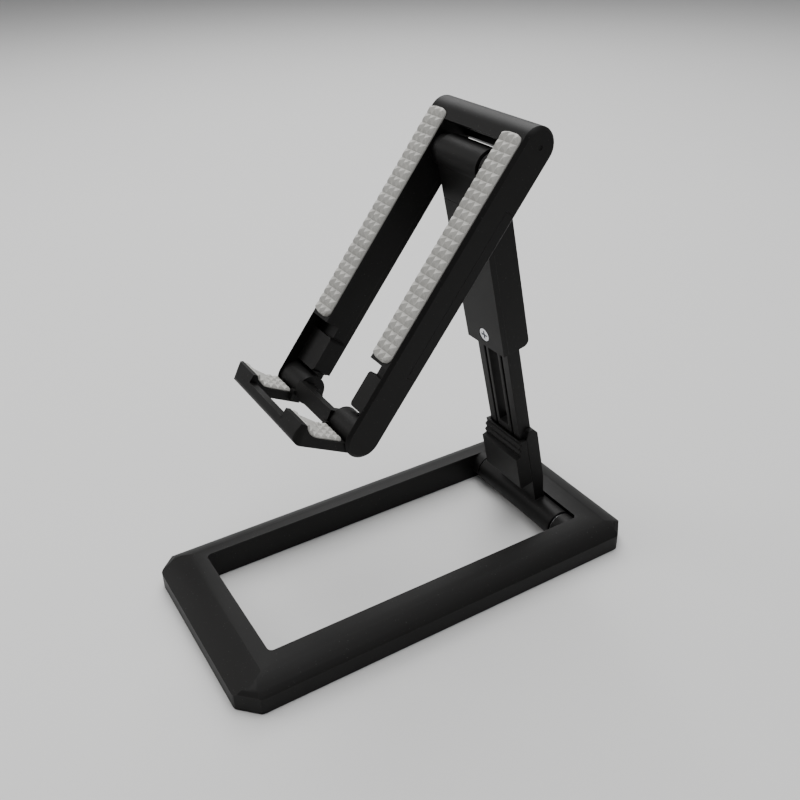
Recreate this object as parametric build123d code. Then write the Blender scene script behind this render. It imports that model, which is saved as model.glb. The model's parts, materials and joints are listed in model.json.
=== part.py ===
"""Folding phone stand: ring base, telescopic leg, tilting cradle and folding hook."""
from math import acos, atan2, cos, degrees, radians, sin, sqrt
import os
from build123d import *

os.makedirs("parts", exist_ok=True)

# ---- clearances -------------------------------------------------------------
RUN = 0.05          # radial gap of a pin turning in a bore
HEAD_GAP = 0.25     # gap round a screw head in its recess
SLIDE = 0.20        # gap per side of the telescopic bar
GAP = 0.30          # gap between moving faces
SEAM = 0.10         # gap between glued or screwed pieces
PAST = 1.0          # how far a cut runs past the face it opens
BITE = 0.2          # how far joined shapes run into each other

# ---- base ring --------------------------------------------------------------
BASE_W = 68.0
BASE_L = 136.0
BASE_CHAMFER = 5.0
BASE_ROUND = 5.0
WALL_TOP = 5.4
RING_TOP = 9.8
OPEN_HALF = 23.35
OPEN_FRONT = -54.7
OPEN_REAR = 53.7
OPEN_FILLET = 1.5
RING_SKIN = 2.2
RING_SAG_SIDE = 1.0
RING_SAG_FRONT = 0.8
RING_SAG_REAR = 1.1
SHELL_BOTTOM = 0.2
CAVITY_TOP = 4.6
SCREW_TOP = 5.6
COVER_BOTTOM = 0.2
COVER_INSET = 1.2
COVER_SEAT = 1.2
COVER_TOP = 1.9
FOOT_L = 14.0
FOOT_W = 6.0
FOOT_SINK = 0.4
FOOT_FRONT = -45.0
FOOT_REAR = 38.0
FOOT_ROUND = 2.7
POST_WALL = 1.7
SCREW_FRONT = 9.5
SCREW_MID = -6.0
SCREW_REAR = 6.0
HINGE_SOLID_FRONT = 3.5
HINGE_SOLID_REAR = 2.6
HINGE_ROOM = 0.6
HINGE_BOSS_R = 4.5
HINGE_BOSS_WEB = 3.2
HINGE_PIN_IN_WALL = 4.0

# ---- hinges and posture -----------------------------------------------------
HINGE_Y = 50.3
HINGE_Z = 5.3
LEAN = 12.0
LEG_REACH = 122.4
TILT = 37.7
CRADLE_DROP = 76.0
HOOK_OPEN = 10.4
PIN_R = 1.5
HOOK_PIN_R = 1.0
WASHER_T = 0.5
WASHER_R = 4.0

# ---- lower arm --------------------------------------------------------------
BARREL_R = 4.7
BARREL_HALF = 19.0
ARM_HALF = 9.2
ARM_REAR = -3.4
ARM_REAR_LOW = -2.65
ARM_FRONT = 6.1
ARM_RECESS = 1.2
ARM_SPLIT = 1.2
ARM_TOP = 31.6
ARM_COVER_LOW = 13.0
ARM_LOW = -1.0
ARM_SHOULDER = 8.0
ARM_SLOPE = 2.1
ARM_LIP = 0.6
ARM_CHAMFER = 0.5
ARM_SOCKET = 6.0
RIDGE_LOW = 25.6
RIDGE_FIRST = 25.9
RIDGE_COUNT = 3
RIDGE_CREST = 0.75
RIDGE_OUT = (4.4, 4.8, 3.9, 4.3, 3.4, 3.6)
BAR_HALF = 7.6
BAR_REAR = -2.0
BAR_FRONT = 2.6
BAR_TOP = 80.0
SLOT_HALF = 2.3
SLOT_LOW = 34.0
SLOT_HIGH = 78.5
SHOE_L = 4.3
GROOVE_IN = 3.7
GROOVE_OUT = 4.5
GROOVE_DEEP = 2.2
SHOE_PROUD = 0.1

# ---- sleeve -----------------------------------------------------------------
SLEEVE_HALF = 9.0
SLEEVE_DEPTH = 4.7
SLEEVE_LOW = 65.0
SLEEVE_BARREL_R = 5.0
SLEEVE_CAVITY_TOP = 113.6
SLEEVE_COVER_TOP = 111.0
SLEEVE_ROUND = 2.0
SLEEVE_SCREW_K = 69.0
SLEEVE_SKIN = 0.6

# ---- cradle -----------------------------------------------------------------
CRADLE_HALF = 21.3
CRADLE_T = 10.35
CRADLE_LEN = 85.0
CRADLE_OPEN = 12.25
CROSSBAR_LOW = 82.5
RAIL_WALL = 1.0
CRADLE_EDGE = 0.9
CROSSBAR_HOLLOW = 87.0
CROSSBAR_FRONT = 3.4
CROSSBAR_COVER = 86.0
PIN_END_GAP = 1.0
BACK_T = 1.8
BACK_LOW = 5.3
BACK_HIGH = 82.0
WRAP_LOW = 19.5
WRAP_HIGH = 68.0
WRAP_EDGE = -1.35
WRAP_STEP = 0.3
PIN_MARK_R = 0.8
PIN_MARK_DEEP = 0.2
POCKET_TOP = 19.1
POCKET_FLOOR = 2.0
LIP_NOTCH = 3.3
LIP_FLOOR = 0.5
BLOCK_LOW = 5.3
BLOCK_INNER = 10.8
BLOCK_FILLET = 1.1
BOSS_R = 4.4
BOSS_ROOT = 1.0
HOOK_BOSS_INNER = 9.6
RAIL_CAVITY_LOW = 22.0
RAIL_CAVITY_HIGH = 68.0
RAIL_CAVITY_FLOOR = 2.4
RAIL_CAVITY_IN = 1.6
RAIL_CAVITY_OUT = 0.7
BACK_POST_WALL = 1.2
BACK_SCREW_S = (30.0, 60.0)
BACK_SCREW_SKIN = 0.6
HOOK_PIN_DEEP = 2.4
HOOK_PIN_SHORT = 0.6

# ---- pads -------------------------------------------------------------------
PAD_INNER = 12.4
PAD_OUTER = 20.4
PAD_LOW = 20.0
PAD_HIGH = 85.2
PAD_BASE = 0.6
PAD_SINK = 0.4
PAD_PYRAMID = 0.8
PAD_ROUND = 2.4
PAD_COLUMNS = 3
PAD_ROWS = 24
PAD_MARGIN = 0.3
STUD_GAP = 0.1
STUD_TIP = 0.25
STUD_SUNK = 0.02
STUD_EDGE = 0.2
STUD_LOW = 0.7
STUD_HIGH = 0.7

# ---- hook -------------------------------------------------------------------
FINGER_INNER = 10.1
FINGER_OUTER = 19.9
FINGER_TOP = 1.8
FINGER_LOW = 4.45
HOOK_LEN = 19.4
LIP_HIGH = -1.3
LIP_T = 1.3
LIP_LEAN = 0.6
LIP_ROUND = 5.0
FINGER_ROUND = 2.2
FINGER_BELLY = 1.6
FINGER_HEEL = 1.7
HOOK_PAD_START = 1.0
HOOK_PAD_T = 0.9
HOOK_PAD_SIDE = 0.4
HOOK_PAD_GAP = 0.03
BRIDGE_T = 2.4
BRIDGE_HIGH = 1.0
WEB_FRONT = 5.0
WEB_REAR = 2.6
WEB_HIGH = -2.5
WEB_LOW = 1.85
LINK_IN = 0.7
LINK_HIGH = 0.6
HUB_R = 2.0
HUB_L = 3.6

# ---- fasteners --------------------------------------------------------------
SCREW_HEAD_R = 2.1
SCREW_HEAD_T = 1.1
SCREW_R = 1.1
CROSS_L = 2.8
CROSS_W = 0.70
CROSS_DEEP = 0.9
TIP_GAP = 0.2


def block(x0, x1, y0, y1, z0, z1):
    """Box given by its limits."""
    centre = Pos((x0 + x1) / 2, (y0 + y1) / 2, (z0 + z1) / 2)
    return centre * Box(x1 - x0, y1 - y0, z1 - z0)


def rod(radius, x0, x1, y=0.0, z=0.0):
    """Cylinder along X."""
    return Pos((x0 + x1) / 2, y, z) * Rot(0, 90, 0) * Cylinder(radius, x1 - x0)


def post(radius, z0, z1, x=0.0, y=0.0):
    """Cylinder along Z."""
    return Pos(x, y, (z0 + z1) / 2) * Cylinder(radius, z1 - z0)


def side_plate(points, x0, x1):
    """Polygon in the YZ plane, extruded along X from x0 to x1."""
    face = make_face(Polyline(*points, close=True))
    solid = extrude(Plane.YZ * face, amount=x1 - x0)
    return Pos(x0, 0, 0) * solid


def mirrored(part):
    """The part and its mirror image across X = 0."""
    return part + mirror(part, about=Plane.YZ)


def save(part, name):
    export_step(part, "parts/" + name + ".step")


def screw(head_z, tip_z, x=0.0, y=0.0):
    """Cross-head screw along Z with its head face at head_z."""
    toward = 1.0 if tip_z > head_z else -1.0
    under = head_z + toward * SCREW_HEAD_T
    head = post(SCREW_HEAD_R, min(head_z, under), max(head_z, under), x, y)
    shank = post(SCREW_R, min(under, tip_z), max(under, tip_z), x, y)
    deep = head_z + toward * CROSS_DEEP
    low = min(head_z, deep)
    high = max(head_z, deep)
    cross = block(x - CROSS_L / 2, x + CROSS_L / 2, y - CROSS_W / 2, y + CROSS_W / 2, low, high)
    cross += block(x - CROSS_W / 2, x + CROSS_W / 2, y - CROSS_L / 2, y + CROSS_L / 2, low, high)
    return head + shank - cross


def washer(x0, x1, bore, outer=WASHER_R):
    return rod(outer, x0, x1) - rod(bore, x0, x1)


# ---- frames of the moving pieces --------------------------------------------
lean = radians(LEAN)
tilt = radians(TILT)
reach_y = HINGE_Y - LEG_REACH * sin(lean)
reach_z = HINGE_Z + LEG_REACH * cos(lean)
end_y = reach_y - CRADLE_DROP * sin(tilt)
end_z = reach_z - CRADLE_DROP * cos(tilt)
hook_angle = radians(TILT - HOOK_OPEN)

leg_frame = Plane((0, HINGE_Y, HINGE_Z), x_dir=(1, 0, 0), z_dir=(0, -cos(lean), -sin(lean))).location
cradle_frame = Plane((0, end_y, end_z), x_dir=(1, 0, 0), z_dir=(0, -cos(tilt), sin(tilt))).location
hook_frame = Plane(
    (0, end_y, end_z), x_dir=(1, 0, 0), z_dir=(0, -sin(hook_angle), -cos(hook_angle))
).location

# ---- base shell -------------------------------------------------------------
half_w = BASE_W / 2
half_l = BASE_L / 2


def dome(left, right, in_left, in_right, sag_left, sag_right, length):
    """Profile with a vertical wall and a crowned top on each side, extruded along Y."""
    def crown(outer, inner, sag):
        run = outer - inner
        rise = RING_TOP - WALL_TOP
        chord = sqrt(run * run + rise * rise)
        side = 1.0 if run > 0 else -1.0
        mid_x = (outer + inner) / 2 + side * sag * rise / chord
        mid_z = (WALL_TOP + RING_TOP) / 2 + sag * abs(run) / chord
        return ThreePointArc((outer, WALL_TOP), (mid_x, mid_z), (inner, RING_TOP))

    lines = [
        Line((left, 0), (right, 0)),
        Line((right, 0), (right, WALL_TOP)),
        crown(right, in_right, sag_right),
        Line((in_right, RING_TOP), (in_left, RING_TOP)),
        crown(left, in_left, sag_left),
        Line((left, WALL_TOP), (left, 0)),
    ]
    face = make_face(Curve() + lines)
    return extrude(Plane.XZ * face, amount=length / 2, both=True)


outline = chamfer(Rectangle(BASE_W, BASE_L).vertices(), BASE_CHAMFER)
outline = fillet(outline.vertices(), BASE_ROUND)
side_dome = dome(-half_w, half_w, -OPEN_HALF, OPEN_HALF, RING_SAG_SIDE, RING_SAG_SIDE, BASE_L)
end_dome = dome(-half_l, half_l, OPEN_FRONT, OPEN_REAR, RING_SAG_FRONT, RING_SAG_REAR, BASE_L)
end_dome = Rot(0, 0, 90) * end_dome
diagonal = (half_w + half_l - BASE_CHAMFER) / sqrt(2)
diagonal_in = diagonal - (half_w - OPEN_HALF)
corner_dome = dome(-diagonal, diagonal, -diagonal_in, diagonal_in, RING_SAG_SIDE, RING_SAG_SIDE, BASE_L)
shell = extrude(outline, amount=RING_TOP)
shell = shell & side_dome & end_dome & (Rot(0, 0, 45) * corner_dome) & (Rot(0, 0, -45) * corner_dome)
opening = fillet(Rectangle(2 * OPEN_HALF, OPEN_REAR - OPEN_FRONT).vertices(), OPEN_FILLET)
opening = Pos(0, (OPEN_FRONT + OPEN_REAR) / 2, 0) * opening
shell -= extrude(opening, amount=RING_TOP + PAST)
shell -= block(-half_w, half_w, -half_l, half_l, 0, SHELL_BOTTOM)

hinge_front = HINGE_Y - BARREL_R - HINGE_SOLID_FRONT
hinge_rear = HINGE_Y + BARREL_R + HINGE_SOLID_REAR


def ring_space(low, high, shrink):
    """Space inside the ring walls, kept clear of the solid hinge corners."""
    width = BASE_W - 2 * (RING_SKIN + shrink)
    length = BASE_L - 2 * (RING_SKIN + shrink)
    plan = chamfer(Rectangle(width, length).vertices(), BASE_CHAMFER - RING_SKIN / 2)
    space = Pos(0, 0, low) * extrude(plan, amount=high - low)
    inner = OPEN_HALF + RING_SKIN + shrink
    space -= block(-inner, inner, OPEN_FRONT - RING_SKIN - shrink, hinge_rear + shrink, low, high)
    space -= block(-half_w, half_w, hinge_front - shrink, hinge_rear + shrink, low, high)
    return space


shell -= ring_space(SHELL_BOTTOM, CAVITY_TOP, 0.0)


def cover_flange(inset, low, high):
    """Ring-shaped slab inside the foot of the walls."""
    plan = chamfer(Rectangle(BASE_W - 2 * inset, BASE_L - 2 * inset).vertices(), BASE_CHAMFER - inset / 2)
    slab = Pos(0, 0, low) * extrude(plan, amount=high - low)
    hole = OPEN_HALF + inset
    return slab - block(-hole, hole, OPEN_FRONT - inset, OPEN_REAR + inset, low - PAST, high + PAST)


shell -= cover_flange(COVER_INSET, SHELL_BOTTOM - PAST, COVER_SEAT)

rail_x = (half_w + OPEN_HALF) / 2
screw_rows = (SCREW_FRONT - half_l, SCREW_MID, half_l - SCREW_REAR)
screw_spots = [(side * rail_x, y) for y in screw_rows for side in (-1, 1)]
for x, y in screw_spots:
    shell += post(SCREW_R + POST_WALL, COVER_TOP, CAVITY_TOP + BITE, x, y)
for x, y in screw_spots:
    shell -= post(SCREW_R, COVER_TOP - BITE, SCREW_TOP + TIP_GAP, x, y)

room_half_x = BARREL_HALF + WASHER_T + BITE
barrel_room = rod(BARREL_R + HINGE_ROOM, -room_half_x, room_half_x, HINGE_Y, HINGE_Z)
shell -= barrel_room
boss_out = OPEN_HALF + BITE
boss = rod(HINGE_BOSS_R, room_half_x, boss_out, HINGE_Y, HINGE_Z)
boss += block(
    room_half_x, boss_out, HINGE_Y, OPEN_REAR + BITE, HINGE_Z - HINGE_BOSS_WEB, HINGE_Z + HINGE_BOSS_WEB
)
shell += mirrored(boss)
pin_end = OPEN_HALF + HINGE_PIN_IN_WALL
shell -= rod(PIN_R, -pin_end, pin_end, HINGE_Y, HINGE_Z)
save(shell, "base_shell")

base_pin = rod(PIN_R, -pin_end, pin_end, HINGE_Y, HINGE_Z)
save(base_pin, "base_hinge_pin")

base_washer = washer(BARREL_HALF + SEAM, BARREL_HALF + SEAM + WASHER_T, PIN_R + RUN)
save(Pos(0, HINGE_Y, HINGE_Z) * mirrored(base_washer), "base_hinge_washers")

# ---- base cover, feet and screws --------------------------------------------
cover = cover_flange(COVER_INSET + SEAM, COVER_BOTTOM, COVER_SEAT)
cover += ring_space(COVER_BOTTOM, COVER_TOP, SEAM)
for x, y in screw_spots:
    cover -= post(SCREW_R + SEAM, 0, COVER_TOP, x, y)
    cover -= post(SCREW_HEAD_R + HEAD_GAP, 0, COVER_BOTTOM + SEAM + SCREW_HEAD_T, x, y)
feet = Part()
for x in (-rail_x, rail_x):
    for y in (FOOT_FRONT, FOOT_REAR):
        foot = block(x - FOOT_W / 2, x + FOOT_W / 2, y - FOOT_L / 2, y + FOOT_L / 2, 0, COVER_BOTTOM + FOOT_SINK)
        feet += fillet(foot.edges().filter_by(Axis.Z), FOOT_ROUND)
        cover -= block(
            x - FOOT_W / 2 - SEAM,
            x + FOOT_W / 2 + SEAM,
            y - FOOT_L / 2 - SEAM,
            y + FOOT_L / 2 + SEAM,
            0,
            COVER_BOTTOM + FOOT_SINK,
        )
save(cover, "base_cover")
save(feet, "base_feet")
base_screws = Part()
for x, y in screw_spots:
    base_screws += screw(COVER_BOTTOM + SEAM, SCREW_TOP, x, y)
save(base_screws, "base_cover_screws")

# ---- lower arm (leg frame: Y along the leg, Z forward) -----------------------
arm = side_plate(
    [
        (ARM_LOW, ARM_REAR_LOW),
        (ARM_SHOULDER, ARM_REAR_LOW),
        (ARM_COVER_LOW, ARM_REAR),
        (ARM_TOP, ARM_REAR),
        (ARM_TOP + ARM_SLOPE, BAR_REAR),
        (ARM_TOP + ARM_SLOPE, 0.0),
        (ARM_TOP - ARM_LIP, ARM_SPLIT),
        (ARM_COVER_LOW, ARM_SPLIT),
        (ARM_COVER_LOW - ARM_SPLIT, ARM_RECESS),
        (ARM_LOW, ARM_RECESS),
    ],
    -ARM_HALF,
    ARM_HALF,
)
arm += rod(BARREL_R, -BARREL_HALF, BARREL_HALF)
arm += block(-BAR_HALF, BAR_HALF, ARM_TOP - ARM_SOCKET, BAR_TOP, BAR_REAR, BAR_FRONT)
slot = block(-SLOT_HALF, SLOT_HALF, SLOT_LOW, SLOT_HIGH, BAR_REAR, BAR_FRONT)
arm -= slot
groove = block(GROOVE_IN, GROOVE_OUT, ARM_TOP - PAST, BAR_TOP, BAR_FRONT - GROOVE_DEEP, BAR_FRONT)
arm -= mirrored(groove)
arm -= rod(PIN_R + RUN, -BARREL_HALF, BARREL_HALF)
save(leg_frame * arm, "lower_arm")

ridge_pitch = (ARM_TOP - RIDGE_LOW) / RIDGE_COUNT
cover_points = [
    (ARM_COVER_LOW, ARM_SPLIT),
    (ARM_COVER_LOW, ARM_FRONT - ARM_CHAMFER),
    (ARM_COVER_LOW + ARM_CHAMFER, ARM_FRONT),
    (RIDGE_LOW, ARM_FRONT),
]
for i in range(RIDGE_COUNT):
    foot_k = RIDGE_FIRST + i * ridge_pitch
    cover_points.append((foot_k, RIDGE_OUT[2 * i]))
    cover_points.append((foot_k + RIDGE_CREST * ridge_pitch, RIDGE_OUT[2 * i + 1]))
cover_points += [
    (ARM_TOP - ARM_LIP / 2, BAR_FRONT + BITE),
    (ARM_TOP - ARM_LIP, ARM_SPLIT),
]
arm_cover = side_plate(cover_points, -ARM_HALF, ARM_HALF)
socket_half = BAR_HALF + SEAM
socket_low = ARM_TOP - ARM_SOCKET - SEAM
arm_cover -= block(-socket_half, socket_half, socket_low, ARM_TOP + PAST, ARM_SPLIT - PAST, BAR_FRONT + SEAM)
save(leg_frame * arm_cover, "arm_front_cover")

shoe_half = BAR_HALF + SHOE_PROUD
shoe = block(
    -shoe_half, shoe_half, BAR_TOP, BAR_TOP + SHOE_L, BAR_REAR - SHOE_PROUD, BAR_FRONT + SHOE_PROUD
)
save(leg_frame * shoe, "slide_shoe")

# ---- sleeve -----------------------------------------------------------------
sleeve = block(-SLEEVE_HALF, SLEEVE_HALF, SLEEVE_LOW, LEG_REACH, -SLEEVE_DEPTH, SLEEVE_DEPTH)
low_rear = sleeve.edges().filter_by(Axis.X).group_by(Axis.Y)[0].sort_by(Axis.Z)[0]
sleeve = fillet(low_rear, SLEEVE_ROUND)
sleeve += rod(SLEEVE_BARREL_R, -SLEEVE_HALF, SLEEVE_HALF, LEG_REACH, 0)
room_rear = BAR_REAR - SLIDE
room_front = BAR_FRONT + SLIDE
room_half = BAR_HALF + SLIDE
sleeve -= block(-room_half, room_half, SLEEVE_LOW - PAST, SLEEVE_CAVITY_TOP, room_rear, room_front)
sleeve -= block(-SLEEVE_HALF, SLEEVE_HALF, SLEEVE_LOW - PAST, SLEEVE_COVER_TOP, room_front, SLEEVE_DEPTH + PAST)
sleeve -= rod(PIN_R, -SLEEVE_HALF, SLEEVE_HALF, LEG_REACH, 0)
sleeve -= post(SCREW_R, -SLEEVE_DEPTH + SLEEVE_SKIN, 0, 0, SLEEVE_SCREW_K)
save(leg_frame * sleeve, "sleeve_body")

front = block(
    -SLEEVE_HALF, SLEEVE_HALF, SLEEVE_LOW, SLEEVE_COVER_TOP - SEAM, room_front, SLEEVE_DEPTH
)
front -= post(SCREW_R + SEAM, 0, SLEEVE_DEPTH + PAST, 0, SLEEVE_SCREW_K)
head_seat = SLEEVE_DEPTH - SCREW_HEAD_T - SEAM
front -= post(SCREW_HEAD_R + HEAD_GAP, head_seat, SLEEVE_DEPTH + PAST, 0, SLEEVE_SCREW_K)
save(leg_frame * front, "sleeve_front_cover")
sleeve_tip = -SLEEVE_DEPTH + SLEEVE_SKIN + TIP_GAP
save(leg_frame * screw(SLEEVE_DEPTH - SEAM, sleeve_tip, 0, SLEEVE_SCREW_K), "sleeve_screw")

cradle_pin_end = CRADLE_HALF - RAIL_WALL - PIN_END_GAP
save(leg_frame * rod(PIN_R, -cradle_pin_end, cradle_pin_end, LEG_REACH, 0), "cradle_hinge_pin")
boss_face = SLEEVE_HALF + WASHER_T + BITE
cradle_washer = washer(SLEEVE_HALF + SEAM, SLEEVE_HALF + SEAM + WASHER_T, PIN_R + RUN)
save(leg_frame * Pos(0, LEG_REACH, 0) * mirrored(cradle_washer), "cradle_hinge_washers")

# ---- cradle (cradle frame: Y up the rails, Z toward the phone) ---------------
half_t = CRADLE_T / 2


def capsule(x0, x1, radius):
    """Round-ended slab seen from the side, between the two end centres."""
    slab = block(x0, x1, 0, CRADLE_LEN, -radius, radius)
    return slab + rod(radius, x0, x1) + rod(radius, x0, x1, CRADLE_LEN, 0)


frame = capsule(-CRADLE_HALF, CRADLE_HALF, half_t)
outer_edges = frame.edges().filter_by(lambda e: abs(abs(e.center().X) - CRADLE_HALF) < RUN)
frame = chamfer(outer_edges, CRADLE_EDGE)
frame -= block(-CRADLE_OPEN, CRADLE_OPEN, -half_t - PAST, CROSSBAR_LOW, -half_t - PAST, half_t + PAST)
frame -= block(
    -CRADLE_OPEN, CRADLE_OPEN, CROSSBAR_LOW - PAST, CROSSBAR_HOLLOW, -half_t + BACK_T, CROSSBAR_FRONT
)
wall_in = CRADLE_HALF - RAIL_WALL
block_high = POCKET_TOP - LIP_NOTCH
# pocket that takes the folded finger
pocket_in = CRADLE_OPEN - PAST
pocket_out = half_t + PAST
pocket = block(pocket_in, wall_in, -half_t - PAST, block_high, POCKET_FLOOR, pocket_out)
pocket += block(pocket_in, wall_in, block_high - BITE, POCKET_TOP, LIP_FLOOR, pocket_out)
pocket += block(pocket_in, wall_in, -half_t - PAST, BLOCK_LOW, -half_t - PAST, pocket_out)
frame -= mirrored(pocket)
stop = block(BLOCK_INNER, CRADLE_OPEN + BITE, BLOCK_LOW, block_high, -half_t + BACK_T, POCKET_FLOOR)
stop_edges = stop.edges().filter_by(Axis.Z).sort_by(Axis.X)[:2]
stop = fillet(stop_edges, BLOCK_FILLET)
frame += mirrored(stop)
hook_boss = rod(BOSS_R, HOOK_BOSS_INNER, wall_in + BITE)
hook_boss += block(CRADLE_OPEN, wall_in + BITE, 0, BLOCK_LOW + RUN, -half_t + BACK_T, -BOSS_ROOT)
frame += mirrored(hook_boss)
hinge_boss = rod(BOSS_R, boss_face, CRADLE_OPEN + BITE, CRADLE_DROP, 0)
frame += mirrored(hinge_boss)
# hollow of the rails and the seat of the back cover
channel_in = CRADLE_OPEN + RAIL_CAVITY_IN
channel_out = wall_in - RAIL_CAVITY_OUT
channel = block(
    channel_in, channel_out, RAIL_CAVITY_LOW, RAIL_CAVITY_HIGH, -half_t, RAIL_CAVITY_FLOOR
)
back_seat = block(pocket_in, wall_in, BACK_LOW, BACK_HIGH, -half_t - PAST, -half_t + BACK_T)
back_seat += block(0, wall_in, CROSSBAR_LOW - PAST, CROSSBAR_COVER, -half_t - PAST, -half_t + BACK_T)
wrap_out = CRADLE_HALF + PAST
wrap_seat = block(wall_in, wrap_out, WRAP_LOW, WRAP_HIGH, -half_t - PAST, WRAP_EDGE)
wrap_seat += block(wall_in, wrap_out, BACK_LOW, WRAP_LOW, -half_t - PAST, -half_t + WRAP_STEP)
pin_mark = rod(PIN_MARK_R, CRADLE_HALF - PIN_MARK_DEEP, wrap_out, CRADLE_LEN, 0)
frame -= mirrored(channel)
frame -= mirrored(back_seat)
frame -= mirrored(wrap_seat)
frame -= mirrored(pin_mark)
rail_mid = (channel_in + channel_out) / 2
back_spots = [(side * rail_mid, s) for s in BACK_SCREW_S for side in (-1, 1)]
boss_foot = -half_t + BACK_T
for x, s in back_spots:
    frame += post(SCREW_R + BACK_POST_WALL, boss_foot, RAIL_CAVITY_FLOOR, x, s)
for x, s in back_spots:
    frame -= post(SCREW_R, boss_foot, RAIL_CAVITY_FLOOR - BACK_SCREW_SKIN, x, s)
# seats of the pads


def pad_plan(inner, outer, low, high, radius):
    plan = fillet(Rectangle(outer - inner, high - low).vertices(), radius)
    return Pos((inner + outer) / 2, (low + high) / 2, 0) * plan


pad_out = PAD_OUTER - PAD_MARGIN
seat_plan = pad_plan(PAD_INNER - SEAM, pad_out + SEAM, PAD_LOW - SEAM, CRADLE_LEN, PAD_ROUND)
seat = Pos(0, 0, half_t - PAD_SINK) * extrude(seat_plan, amount=PAD_SINK + PAST)
frame -= mirrored(seat)
bore_end = cradle_pin_end + TIP_GAP
frame -= rod(PIN_R + RUN, -bore_end, bore_end, CRADLE_DROP, 0)
hook_pin_in = HOOK_BOSS_INNER - SEAM - HUB_L + HOOK_PIN_SHORT
hook_pin_out = CRADLE_OPEN + HOOK_PIN_DEEP
frame -= mirrored(rod(HOOK_PIN_R, HOOK_BOSS_INNER - PAST, hook_pin_out, 0, 0))
save(cradle_frame * frame, "cradle_frame")

back = block(
    CRADLE_OPEN, wall_in - SEAM, BACK_LOW + SEAM, BACK_HIGH, -half_t, -half_t + BACK_T
)
back += block(0, wall_in - SEAM, CROSSBAR_LOW, CROSSBAR_COVER - SEAM, -half_t, -half_t + BACK_T)
back += block(CRADLE_OPEN, wall_in - SEAM, BACK_HIGH - PAST, CROSSBAR_LOW + PAST, -half_t, -half_t + BACK_T)
wrap = block(wall_in - SEAM, CRADLE_HALF, WRAP_LOW + SEAM, WRAP_HIGH - SEAM, -half_t, -half_t + BACK_T)
wrap += block(wall_in + SEAM, CRADLE_HALF, WRAP_LOW + SEAM, WRAP_HIGH - SEAM, -half_t, WRAP_EDGE - SEAM)
wrap_corner = wrap.edges().filter_by(Axis.Y).group_by(Axis.X)[-1].sort_by(Axis.Z)[0]
wrap = chamfer(wrap_corner, CRADLE_EDGE)
back = mirrored(back + wrap)
for x, s in back_spots:
    back -= post(SCREW_R + SEAM, -half_t - PAST, 0, x, s)
    back -= post(SCREW_HEAD_R + HEAD_GAP, -half_t - PAST, -half_t + SEAM + SCREW_HEAD_T, x, s)
save(cradle_frame * back, "cradle_back_cover")
back_screws = Part()
for x, s in back_spots:
    back_screws += screw(-half_t + SEAM, RAIL_CAVITY_FLOOR - BACK_SCREW_SKIN - TIP_GAP, x, s)
save(cradle_frame * back_screws, "cradle_back_screws")


def pyramid(x, y, z, width, length, height):
    base = Pos(x, y, z) * Rectangle(width, length)
    return extrude(base, amount=height, taper=degrees(atan2(min(width, length) / 2 - STUD_TIP, height)))


def studs(x0, x1, y0, y1, z, columns, rows, height):
    """Field of low pyramids standing on a pad."""
    step_x = (x1 - x0) / columns
    step_y = (y1 - y0) / rows
    field = []
    for i in range(columns):
        for j in range(rows):
            x = x0 + (i + 0.5) * step_x
            y = y0 + (j + 0.5) * step_y
            field.append(pyramid(x, y, z, step_x - STUD_GAP, step_y - STUD_GAP, height))
    return field


pad_low_z = half_t - PAD_SINK
pad_top_z = half_t + PAD_BASE
pad_high = PAD_HIGH - PAD_MARGIN
pad = Pos(0, 0, pad_low_z) * extrude(
    pad_plan(PAD_INNER, pad_out, PAD_LOW, pad_high, PAD_ROUND), amount=pad_top_z - pad_low_z
)
pad = pad + studs(
    PAD_INNER + STUD_EDGE,
    pad_out - STUD_EDGE,
    PAD_LOW + STUD_LOW,
    pad_high - STUD_HIGH,
    pad_top_z - STUD_SUNK,
    PAD_COLUMNS,
    PAD_ROWS,
    PAD_PYRAMID,
)
save(cradle_frame * pad, "cradle_pad_right")
save(cradle_frame * mirror(pad, about=Plane.YZ), "cradle_pad_left")

# ---- hook (hook frame: Y along the fingers, Z away from the phone) -----------
finger = block(FINGER_INNER, FINGER_OUTER, 0, HOOK_LEN, FINGER_TOP, FINGER_LOW)
front_low = finger.edges().filter_by(Axis.X).group_by(Axis.Y)[-1].sort_by(Axis.Z)[-1]
finger = fillet(front_low, FINGER_BELLY)
lip_in = HOOK_LEN - LIP_T - LIP_LEAN
lip_rise = FINGER_TOP - LIP_HIGH
lip_turn = acos((LIP_ROUND - lip_rise) / LIP_ROUND)
seat_start = lip_in - LIP_ROUND * sin(lip_turn)


def seat_arc(offset):
    """Concave corner between finger and lip, moved toward the phone by offset."""
    start = (seat_start, FINGER_TOP - offset)
    return JernArc(start, (1, 0), LIP_ROUND - offset, -degrees(lip_turn))


corner = seat_arc(0.0)
lip_lines = [
    corner,
    Polyline(
        corner @ 1,
        (HOOK_LEN - LIP_LEAN, LIP_HIGH),
        (HOOK_LEN, FINGER_TOP),
        (HOOK_LEN, FINGER_TOP + LIP_T),
        (seat_start, FINGER_TOP + LIP_T),
        (seat_start, FINGER_TOP),
    ),
]
lip_face = Plane.YZ * make_face(Curve() + lip_lines)
lip = Pos(FINGER_INNER, 0, 0) * extrude(lip_face, amount=FINGER_OUTER - FINGER_INNER)
finger += lip
finger -= rod(BOSS_R + GAP, FINGER_INNER - PAST, FINGER_OUTER + PAST)
finger -= block(FINGER_INNER - PAST, FINGER_OUTER + PAST, -PAST, FINGER_HEEL, 0, FINGER_LOW + PAST)
web_end = HOOK_BOSS_INNER - SEAM
web = block(0, web_end, WEB_REAR, WEB_FRONT, WEB_HIGH, WEB_LOW)
link = block(web_end - LINK_IN, FINGER_INNER + GAP, WEB_REAR, WEB_FRONT + LINK_IN, LINK_HIGH, FINGER_LOW - LINK_IN)
link -= rod(BOSS_R + GAP, web_end, FINGER_INNER + PAST)
hub = rod(HUB_R, web_end - HUB_L, web_end)
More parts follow.
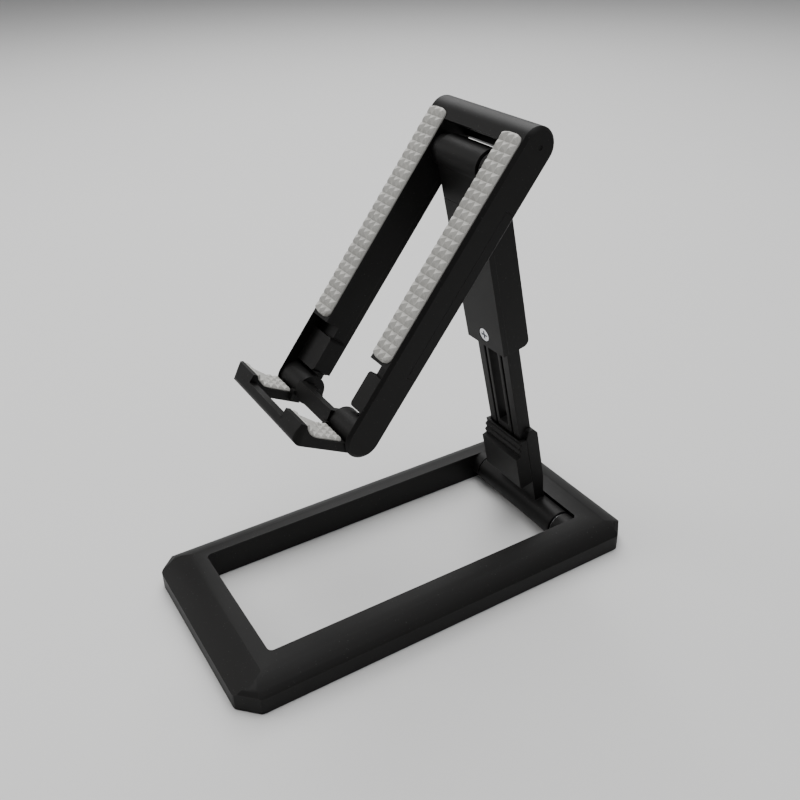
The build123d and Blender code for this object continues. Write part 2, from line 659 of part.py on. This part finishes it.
hub += block(web_end - HUB_L, web_end, 0, WEB_REAR + BITE, -HUB_R, WEB_LOW)
bridge = block(0, FINGER_INNER + BITE, HOOK_LEN - BRIDGE_T, HOOK_LEN, BRIDGE_HIGH, FINGER_LOW)
bridge_low = bridge.edges().filter_by(Axis.X).group_by(Axis.Y)[-1].sort_by(Axis.Z)[-1]
bridge = fillet(bridge_low, FINGER_BELLY)
hook = mirrored(finger + web + link + hub + bridge)
hook_plan = fillet(Rectangle(2 * FINGER_OUTER, 2 * HOOK_LEN).vertices(), FINGER_ROUND)
hook = hook & (Pos(0, 0, -HOOK_LEN) * extrude(hook_plan, amount=2 * HOOK_LEN))
hook -= mirrored(rod(HOOK_PIN_R + RUN, hook_pin_in, web_end + PAST))
hook_pad_low = BOSS_R + HOOK_PAD_START
save(hook_frame * hook, "hook_body")

hook_pins = mirrored(rod(HOOK_PIN_R, hook_pin_in + SEAM, hook_pin_out, 0, 0))
save(cradle_frame * hook_pins, "hook_hinge_pins")

under = seat_arc(HOOK_PAD_GAP)
over = seat_arc(HOOK_PAD_T)
pad_lines = [
    under,
    Line(under @ 1, over @ 1),
    over,
    Polyline(
        over @ 0,
        (hook_pad_low, FINGER_TOP - HOOK_PAD_T),
        (hook_pad_low, FINGER_TOP - HOOK_PAD_GAP),
        under @ 0,
    ),
]
hook_pad_face = Plane.YZ * make_face(Curve() + pad_lines)
pad_width = FINGER_OUTER - FINGER_INNER - 2 * HOOK_PAD_SIDE
hook_pad = Pos(FINGER_INNER + HOOK_PAD_SIDE, 0, 0) * extrude(hook_pad_face, amount=pad_width)
save(hook_frame * hook_pad, "hook_pad_right")
save(hook_frame * mirror(hook_pad, about=Plane.YZ), "hook_pad_left")
print("base hinge", HINGE_Y, HINGE_Z)
print("cradle hinge", round(reach_y, 3), round(reach_z, 3))
print("hook hinge", round(end_y, 3), round(end_z, 3))
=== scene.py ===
"""Studio scene of the folding phone stand: finer pads, bevelled plastic, moulded and metal finishes."""
import bpy
import json
import math
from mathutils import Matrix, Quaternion, Vector


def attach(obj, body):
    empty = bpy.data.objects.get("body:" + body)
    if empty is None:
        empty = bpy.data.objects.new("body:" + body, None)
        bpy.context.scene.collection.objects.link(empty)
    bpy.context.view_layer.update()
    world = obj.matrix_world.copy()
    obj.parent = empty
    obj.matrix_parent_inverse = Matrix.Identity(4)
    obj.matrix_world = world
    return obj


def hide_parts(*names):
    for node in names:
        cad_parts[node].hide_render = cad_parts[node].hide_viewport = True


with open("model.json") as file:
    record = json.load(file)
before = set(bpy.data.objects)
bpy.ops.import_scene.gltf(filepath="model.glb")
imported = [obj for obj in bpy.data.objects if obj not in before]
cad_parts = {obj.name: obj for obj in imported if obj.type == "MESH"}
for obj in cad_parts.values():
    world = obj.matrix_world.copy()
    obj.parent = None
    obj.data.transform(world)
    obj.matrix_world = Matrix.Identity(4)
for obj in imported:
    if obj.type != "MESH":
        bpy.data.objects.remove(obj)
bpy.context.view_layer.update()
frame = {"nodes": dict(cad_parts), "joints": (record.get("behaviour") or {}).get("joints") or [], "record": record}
nodes = frame["nodes"]

MM = 0.001

# ---- view -------------------------------------------------------------------
VIEW_AZIMUTH = math.radians(59.04)
VIEW_ELEVATION = math.radians(30.91)
VIEW_ROLL = math.radians(-1.03)
VIEW_DISTANCE = 256.7 * MM
VIEW_AIM = Vector((4.27, -0.59, 61.9)) * MM
LENS = 40.85
SENSOR = 36.0


# ---- node material helpers --------------------------------------------------
class Recipe:
    """A new material with its shader, and short calls that add and join nodes."""

    def __init__(self, name):
        self.material = bpy.data.materials.new(name)
        self.material.use_nodes = True
        self.tree = self.material.node_tree
        self.shader = self.tree.nodes["Principled BSDF"]
        self.place = self.add("ShaderNodeTexCoord").outputs["Object"]

    def add(self, kind, **settings):
        node = self.tree.nodes.new(kind)
        for key, value in settings.items():
            setattr(node, key, value)
        return node

    def join(self, source, target):
        self.tree.links.new(source, target)

    def noise(self, scale, detail=3.0, rough=0.55):
        node = self.add("ShaderNodeTexNoise")
        node.inputs["Scale"].default_value = scale
        node.inputs["Detail"].default_value = detail
        node.inputs["Roughness"].default_value = rough
        self.join(self.place, node.inputs["Vector"])
        return node.outputs["Fac"]

    def ramp(self, source, low, high, start, end):
        """Maps source from low..high to start..end, clamped."""
        node = self.add("ShaderNodeMapRange")
        node.inputs["From Min"].default_value = low
        node.inputs["From Max"].default_value = high
        node.inputs["To Min"].default_value = start
        node.inputs["To Max"].default_value = end
        self.join(source, node.inputs["Value"])
        return node.outputs["Result"]

    def blend(self, fac, first, second):
        """Colour between first and second, each a colour or a socket."""
        node = self.add("ShaderNodeMix", data_type="RGBA")
        self.join(fac, node.inputs["Factor"])
        for value, socket in ((first, node.inputs["A"]), (second, node.inputs["B"])):
            if isinstance(value, bpy.types.NodeSocket):
                self.join(value, socket)
            else:
                socket.default_value = (*value, 1.0)
        return node.outputs["Result"]

    def math(self, operation, first, second):
        node = self.add("ShaderNodeMath", operation=operation)
        for value, socket in ((first, node.inputs[0]), (second, node.inputs[1])):
            if isinstance(value, bpy.types.NodeSocket):
                self.join(value, socket)
            else:
                socket.default_value = value
        return node.outputs["Value"]

    def edges(self, radius, low, high):
        """1 on sharp edges and 0 elsewhere, from how far a bevelled normal turns from the true one."""
        bevel = self.add("ShaderNodeBevel", samples=6)
        bevel.inputs["Radius"].default_value = radius
        flat = self.add("ShaderNodeNewGeometry")
        turned = self.add("ShaderNodeVectorMath", operation="DOT_PRODUCT")
        self.join(bevel.outputs["Normal"], turned.inputs[0])
        self.join(flat.outputs["Normal"], turned.inputs[1])
        return self.ramp(turned.outputs["Value"], high, low, 0.0, 1.0)

    def bump(self, source, strength, distance):
        node = self.add("ShaderNodeBump")
        node.inputs["Strength"].default_value = strength
        node.inputs["Distance"].default_value = distance
        self.join(source, node.inputs["Height"])
        self.join(node.outputs["Normal"], self.shader.inputs["Normal"])

    def set(self, **values):
        for key, value in values.items():
            self.shader.inputs[key.replace("_", " ")].default_value = value


def black_plastic():
    """Matte moulded ABS: spark grain, faint flow clouds, smoother rubbed edges, edges painted paler as part wear
    and part painted highlight, dust specks.
    """
    r = Recipe("black_abs")
    clouds = r.noise(38.0, 4.0)
    grain = r.noise(5200.0, 2.0, 0.6)
    sharp_edges = r.edges(0.00045, 0.86, 0.985)
    patch = r.noise(420.0, 3.0)
    wear_and_highlight = r.math("MULTIPLY", sharp_edges, r.ramp(patch, 0.35, 0.7, 0.25, 1.0))
    cloudy = r.ramp(clouds, 0.3, 0.7, 0.0, 1.0)
    body = r.blend(cloudy, (0.0028, 0.0026, 0.0025), (0.0046, 0.0043, 0.0040))
    speck = r.ramp(r.noise(2300.0, 1.0, 0.4), 0.735, 0.765, 0.0, 0.35)
    dusty = r.blend(speck, body, (0.09, 0.088, 0.085))
    # Paler colour on sharp edges: part rubbed wear, part a painted highlight line along the edges.
    rubbed_and_highlit = r.blend(r.math("MULTIPLY", wear_and_highlight, 0.35), dusty, (0.034, 0.032, 0.030))
    r.join(rubbed_and_highlit, r.shader.inputs["Base Color"])
    rough = r.ramp(clouds, 0.3, 0.7, 0.47, 0.56)
    r.join(r.math("SUBTRACT", rough, r.math("MULTIPLY", wear_and_highlight, 0.12)), r.shader.inputs["Roughness"])
    r.bump(grain, 0.10, 0.00006)
    r.set(Specular_IOR_Level=0.19)
    return r.material


def grey_silicone():
    """Soft pad rubber: pale grey, slightly mottled, sheen and a dull surface."""
    r = Recipe("grey_silicone")
    mottle = r.noise(160.0, 4.0)
    fine = r.noise(3800.0, 2.0)
    grime = r.ramp(r.noise(720.0, 3.0), 0.56, 0.74, 0.0, 0.35)
    pale = r.blend(r.ramp(mottle, 0.3, 0.7, 0.0, 1.0), (0.37, 0.365, 0.345), (0.45, 0.445, 0.42))
    r.join(r.blend(grime, pale, (0.29, 0.285, 0.27)), r.shader.inputs["Base Color"])
    r.join(r.ramp(fine, 0.2, 0.8, 0.56, 0.74), r.shader.inputs["Roughness"])
    r.bump(fine, 0.18, 0.00005)
    r.set(Sheen_Weight=0.06, Sheen_Roughness=0.5, Specular_IOR_Level=0.35)
    return r.material


def foot_rubber():
    r = Recipe("foot_rubber")
    mottle = r.noise(300.0, 4.0)
    fine = r.noise(4200.0, 2.0)
    r.join(r.blend(mottle, (0.014, 0.014, 0.014), (0.035, 0.034, 0.033)), r.shader.inputs["Base Color"])
    r.join(r.ramp(fine, 0.2, 0.8, 0.75, 0.92), r.shader.inputs["Roughness"])
    r.bump(fine, 0.25, 0.00006)
    return r.material


def metal(name, dark, pale, rough_low, rough_high, scratch_scale):
    """Bare metal with fine scratches and rubbed edges."""
    r = Recipe(name)
    scratch = r.noise(scratch_scale, 5.0, 0.7)
    cloud = r.noise(400.0, 2.0)
    sharp_edges = r.edges(0.0002, 0.8, 0.98)
    tone = r.blend(r.ramp(cloud, 0.3, 0.7, 0.0, 1.0), dark, pale)
    r.join(r.blend(r.math("MULTIPLY", sharp_edges, 0.5), tone, (0.86, 0.86, 0.87)), r.shader.inputs["Base Color"])
    r.join(r.ramp(scratch, 0.25, 0.75, rough_low, rough_high), r.shader.inputs["Roughness"])
    r.bump(scratch, 0.12, 0.00003)
    r.set(Metallic=1.0)
    return r.material


def shoe_plastic():
    r = Recipe("natural_acetal")
    mottle = r.noise(240.0, 3.0)
    fine = r.noise(3600.0, 2.0)
    r.join(r.blend(mottle, (0.60, 0.60, 0.57), (0.72, 0.71, 0.68)), r.shader.inputs["Base Color"])
    r.join(r.ramp(fine, 0.2, 0.8, 0.38, 0.50), r.shader.inputs["Roughness"])
    r.bump(fine, 0.12, 0.00005)
    r.set(Subsurface_Weight=0.05, Subsurface_Scale=0.0008)
    return r.material


FINISHES = {
    "black_plastic": black_plastic(),
    "grey_silicone": grey_silicone(),
    "foot_rubber": foot_rubber(),
    "pin_steel": metal("drawn_steel", (0.42, 0.42, 0.43), (0.56, 0.56, 0.57), 0.22, 0.38, 2600.0),
    "screw_zinc": metal("zinc_plate", (0.62, 0.63, 0.66), (0.80, 0.81, 0.84), 0.16, 0.34, 3200.0),
    "shoe_plastic": shoe_plastic(),
}
SLOT_OF = {part["node"]: part["material_slot"] for part in frame["record"]["subparts"]}

# ---- CAD pieces: finish and rounded edges -------------------------------------
EDGE_ROUND = {
    "base_shell": 0.35, "base_cover": 0.15, "lower_arm": 0.25, "arm_front_cover": 0.20, "sleeve_body": 0.30,
    "sleeve_front_cover": 0.25, "cradle_frame": 0.25, "cradle_back_cover": 0.20, "hook_body": 0.28,
    "slide_shoe": 0.15, "base_feet": 0.10,
}
EDGE_ANGLE = math.radians(24.0)
EDGE_SEGMENTS = 2
WELD_GAP = 0.004 * MM
FLAT_ANGLE = math.radians(0.6)
FACE_WEIGHT = 80
KEEP_TRIANGLES = ("lower_arm",)  # merging the faces round its slot would close the slot


def finish_node(name):
    """Gives a CAD node its finish, and the small rounded edges that catch the light."""
    piece = nodes[name]
    piece.data.materials.clear()
    piece.data.materials.append(FINISHES[SLOT_OF[name]])
    for polygon in piece.data.polygons:
        polygon.material_index = 0
        polygon.use_smooth = True
    width = EDGE_ROUND.get(name)
    if width is None:
        return
    weld = piece.modifiers.new("weld", "WELD")
    weld.merge_threshold = WELD_GAP
    if name not in KEEP_TRIANGLES:
        merge = piece.modifiers.new("merge_flats", "DECIMATE")
        merge.decimate_type = "DISSOLVE"
        merge.angle_limit = FLAT_ANGLE
    bevel = piece.modifiers.new("round_edges", "BEVEL")
    bevel.width = width * MM
    bevel.segments = EDGE_SEGMENTS
    bevel.limit_method = "ANGLE"
    bevel.angle_limit = EDGE_ANGLE
    bevel.use_clamp_overlap = True
    smooth = piece.modifiers.new("even_normals", "WEIGHTED_NORMAL")
    smooth.keep_sharp = False
    smooth.weight = FACE_WEIGHT


for name in nodes:
    finish_node(name)


# ---- moulded silicone pads -----------------------------------------------------
JOINT_AT = {joint["name"]: Vector(joint["pos_m"]) for joint in frame["joints"] if "pos_m" in joint}
SIDE = Vector((1.0, 0.0, 0.0))
hook_pin = JOINT_AT["hook_hinge"]
UP_RAIL = (JOINT_AT["cradle_hinge"] - hook_pin).normalized()
TO_PHONE = UP_RAIL.cross(SIDE)
if TO_PHONE.y > 0:
    TO_PHONE = -TO_PHONE


def extent(name, origin, axis):
    """Lowest and highest distance of a CAD node along an axis from origin."""
    along = [(vertex.co - origin).dot(axis) for vertex in nodes[name].data.vertices]
    return min(along), max(along)


STUD_SPREAD = 0.97     # share of its cell that a pyramid's foot covers
STUD_FLAT = 0.92       # height at which its tip is cut flat
RIM = 0.35 * MM        # width of the pad's rounded edge
RIM_LOW = 0.55         # share of the pad's thickness left at its very edge
RIM_STUD = 0.35        # share of a stud's height left there


def stud(across, along):
    """Height, 0 to 1, of a four-sided pyramid in its cell; both run from -1 to 1."""
    peak = max(0.0, 1.0 - max(abs(across), abs(along)) / STUD_SPREAD)
    return min(peak, STUD_FLAT)


def half_at(near_end, width, corner):
    """Half the strip's width at a distance from its nearer, rounded end."""
    half = width / 2
    if near_end < corner:
        half -= corner - math.sqrt(corner * corner - (corner - near_end) ** 2)
    return half


def pad_mesh(name, width, length, corner, columns, rows, base, height, sink, place, steps=6):
    """Rounded strip covered with pyramids. place(across, along, up) gives the point in the row frame."""
    cell_across = width / columns
    cell_along = length / rows
    count_across = columns * steps
    count_along = rows * steps
    points = []
    for j in range(count_along + 1):
        along = length * j / count_along
        near_end = min(along, length - along)
        half = half_at(near_end, width, corner)
        for i in range(count_across + 1):
            across = half * (2 * i / count_across - 1)
            cell_x = ((across + width / 2) / cell_across) % 1.0
            cell_y = (along / cell_along) % 1.0
            rim = min(1.0, min(near_end, half - abs(across)) / RIM)
            up = base * (RIM_LOW + (1 - RIM_LOW) * math.sqrt(max(0.0, 1 - (1 - rim) ** 2)))
            up += height * stud(2 * cell_x - 1, 2 * cell_y - 1) * (RIM_STUD + (1 - RIM_STUD) * rim)
            points.append(place(across, along, up))
    row = count_across + 1
    faces = []
    for j in range(count_along):
        for i in range(count_across):
            low = j * row + i
            corners = (low, low + 1, low + row + 1, low + row)
            rising = (2 * (i % steps) < steps) == (2 * (j % steps) < steps)
            if rising:
                faces.append((corners[0], corners[1], corners[2]))
                faces.append((corners[0], corners[2], corners[3]))
            else:
                faces.append((corners[0], corners[1], corners[3]))
                faces.append((corners[1], corners[2], corners[3]))
    edge = list(range(row))
    edge += [j * row + count_across for j in range(1, count_along + 1)]
    edge += [count_along * row + i for i in range(count_across - 1, -1, -1)]
    edge += [j * row for j in range(count_along - 1, 0, -1)]
    first = len(points)
    for index in edge:
        j, i = divmod(index, row)
        along = length * j / count_along
        near_end = min(along, length - along)
        half = half_at(near_end, width, corner)
        points.append(place(half * (2 * i / count_across - 1), along, -sink))
    total = len(edge)
    for k in range(total):
        after = (k + 1) % total
        faces.append((edge[after], edge[k], first + k, first + after))
    faces.append(tuple(first + k for k in range(total)))
    mesh = bpy.data.meshes.new(name)
    mesh.from_pydata(points, [], faces)
    mesh.update()
    pad = bpy.data.objects.new(name, mesh)
    bpy.context.collection.objects.link(pad)
    mesh.materials.append(FINISHES["grey_silicone"])
    return pad


RAIL_PAD_COLUMNS = 3
RAIL_PAD_ROWS = 24
RAIL_PAD_CORNER = 2.3 * MM
PAD_BASE = 0.55 * MM
PAD_STUD = 0.95 * MM
PAD_SINK = 0.35 * MM
PAD_ABOVE_UNDERSIDE = 0.4 * MM


def rail_pad(node, new_name):
    inner, outer = extent(node, hook_pin, SIDE)
    low, high = extent(node, hook_pin, UP_RAIL)
    under, _ = extent(node, hook_pin, TO_PHONE)
    middle = (inner + outer) / 2
    seat = under + PAD_ABOVE_UNDERSIDE

    def place(across, along, up):
        return hook_pin + SIDE * (middle + across) + UP_RAIL * (low + along) + TO_PHONE * (seat + up)

    pad = pad_mesh(
        new_name, outer - inner, high - low, RAIL_PAD_CORNER, RAIL_PAD_COLUMNS, RAIL_PAD_ROWS,
        PAD_BASE, PAD_STUD, PAD_SINK, place,
    )
    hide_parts(node)
    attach(pad, "cradle")


HOOK_OPEN = math.radians(10.4)
ALONG_FINGER = TO_PHONE * math.cos(HOOK_OPEN) - UP_RAIL * math.sin(HOOK_OPEN)
OFF_FINGER = UP_RAIL * math.cos(HOOK_OPEN) + TO_PHONE * math.sin(HOOK_OPEN)
HOOK_PAD_COLUMNS = 4
HOOK_PAD_ROWS = 6
HOOK_PAD_CORNER = 0.8 * MM
HOOK_PAD_BASE = 0.5 * MM
HOOK_PAD_STUD = 0.80 * MM
SEAT_ROUND = 5.0 * MM
SEAT_RISE = 3.1 * MM
SEAT_TURN = math.acos((SEAT_ROUND - SEAT_RISE) / SEAT_ROUND)


def hook_pad(node, new_name):
    """Pad that runs along the finger and then up the round corner to the lip."""
    inner, outer = extent(node, hook_pin, SIDE)
    start, reach = extent(node, hook_pin, ALONG_FINGER)
    seat, _ = extent(node, hook_pin, OFF_FINGER)
    middle = (inner + outer) / 2
    flat = reach - SEAT_ROUND * math.sin(SEAT_TURN) - start
    length = flat + SEAT_ROUND * SEAT_TURN

    def place(across, along, up):
        base = hook_pin + SIDE * (middle + across)
        if along <= flat:
            return base + ALONG_FINGER * (start + along) + OFF_FINGER * (seat + up)
        turn = (along - flat) / SEAT_ROUND
        arm = SEAT_ROUND - up
        forward = start + flat + arm * math.sin(turn)
        off = seat + SEAT_ROUND - arm * math.cos(turn)
        return base + ALONG_FINGER * forward + OFF_FINGER * off

    pad = pad_mesh(
        new_name, outer - inner, length, HOOK_PAD_CORNER, HOOK_PAD_COLUMNS, HOOK_PAD_ROWS,
        HOOK_PAD_BASE, HOOK_PAD_STUD, 0.0, place,
    )
    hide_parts(node)
    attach(pad, "hook")


for hand in ("left", "right"):
    rail_pad("cradle_pad_" + hand, "rail_pad_" + hand)
    hook_pad("hook_pad_" + hand, "finger_pad_" + hand)


# ---- floor and backdrop -----------------------------------------------------
def backdrop():
    """Seamless paper: a flat floor that curves up to a wall behind the object, with painted shade darkening the
    paper farther back.
    """
    depth = 1.5
    wide = 2.6
    painted_shade_near = 0.10
    painted_shade_far = 1.10
    start = 1.5
    curve = 0.3
    near = -1.2
    bends = 16
    profile = [(near, 0.0), (start, 0.0)]
    for step in range(1, bends + 1):
        turn = math.radians(90.0 * step / bends)
        profile.append((start + curve * math.sin(turn), curve - curve * math.cos(turn)))
    profile.append((start + curve, depth))
    back = Vector((-math.sin(VIEW_AZIMUTH), math.cos(VIEW_AZIMUTH), 0.0))
    side = Vector((math.cos(VIEW_AZIMUTH), math.sin(VIEW_AZIMUTH), 0.0))
    points = []
    for run, height in profile:
        for sign in (-1, 1):
            point = back * run + side * (sign * wide)
            points.append((point.x, point.y, height))
    faces = []
    for step in range(len(profile) - 1):
        low = 2 * step
        faces.append((low, low + 1, low + 3, low + 2))
    mesh = bpy.data.meshes.new("backdrop")
    mesh.from_pydata(points, [], faces)
    for polygon in mesh.polygons:
        polygon.use_smooth = True
    sheet = bpy.data.objects.new("backdrop", mesh)
    bpy.context.collection.objects.link(sheet)
    r = Recipe("seamless_paper")
    tooth = r.noise(900.0, 4.0)
    cloud = r.noise(3.0, 2.0)
    away = r.add("ShaderNodeVectorMath", operation="DOT_PRODUCT")
    r.join(r.place, away.inputs[0])
    away.inputs[1].default_value = back
    pale = r.blend(cloud, (0.68, 0.68, 0.675), (0.71, 0.71, 0.705))
    # Painted shade: the paper colour darkens with distance behind the stand, in place of the real fall-off of
    # light on the far floor and wall.
    painted_shade = r.ramp(away.outputs["Value"], painted_shade_near, painted_shade_far, 0.0, 0.35)
    r.join(r.blend(painted_shade, pale, (0.36, 0.36, 0.365)), r.shader.inputs["Base Color"])
    r.join(r.ramp(tooth, 0.3, 0.7, 0.85, 0.95), r.shader.inputs["Roughness"])
    r.bump(tooth, 0.03, 0.0001)
    mesh.materials.append(r.material)


backdrop()


# ---- lights -----------------------------------------------------------------
LIT_POINT = Vector((0.0, 0.0, 0.06))


def soft_light(name, place, size, power, tint=(1.0, 1.0, 1.0)):
    """Rectangular area light that faces the stand."""
    data = bpy.data.lights.new(name, "AREA")
    data.shape = "RECTANGLE"
    data.size = size[0]
    data.size_y = size[1]
    data.energy = power
    data.color = tint
    lamp = bpy.data.objects.new(name, data)
    lamp.location = place
    aim = LIT_POINT - Vector(place)
    lamp.rotation_mode = "QUATERNION"
    lamp.rotation_quaternion = aim.to_track_quat("-Z", "Y")
    bpy.context.collection.objects.link(lamp)


soft_light("key_softbox", (-0.70, 0.42, 0.78), (0.75, 0.75), 7.0, (1.0, 1.0, 1.0))
soft_light("top_softbox", (-0.05, 0.05, 1.05), (0.9, 0.9), 10.5, (1.0, 1.0, 1.0))
soft_light("left_softbox", (-0.65, -0.65, 0.60), (0.5, 0.5), 2.6, (1.0, 0.99, 0.98))

world = bpy.data.worlds.new("studio")
world.use_nodes = True
world.node_tree.nodes["Background"].inputs["Color"].default_value = (0.80, 0.80, 0.81, 1.0)
world.node_tree.nodes["Background"].inputs["Strength"].default_value = 0.36
bpy.context.scene.world = world


# ---- camera -----------------------------------------------------------------
def camera():
    flat = math.cos(VIEW_ELEVATION)
    back = Vector((math.sin(VIEW_AZIMUTH) * flat, -math.cos(VIEW_AZIMUTH) * flat, math.sin(VIEW_ELEVATION)))
    data = bpy.data.cameras.new("camera")
    data.lens = LENS
    data.sensor_width = SENSOR
    data.clip_start = 0.01
    data.clip_end = 20.0
    eye = bpy.data.objects.new("camera", data)
    eye.location = VIEW_AIM + back * VIEW_DISTANCE
    eye.rotation_mode = "QUATERNION"
    eye.rotation_quaternion = (-back).to_track_quat("-Z", "Y")
    eye.rotation_quaternion.rotate(Quaternion(back, VIEW_ROLL))
    bpy.context.collection.objects.link(eye)
    bpy.context.scene.camera = eye


camera()
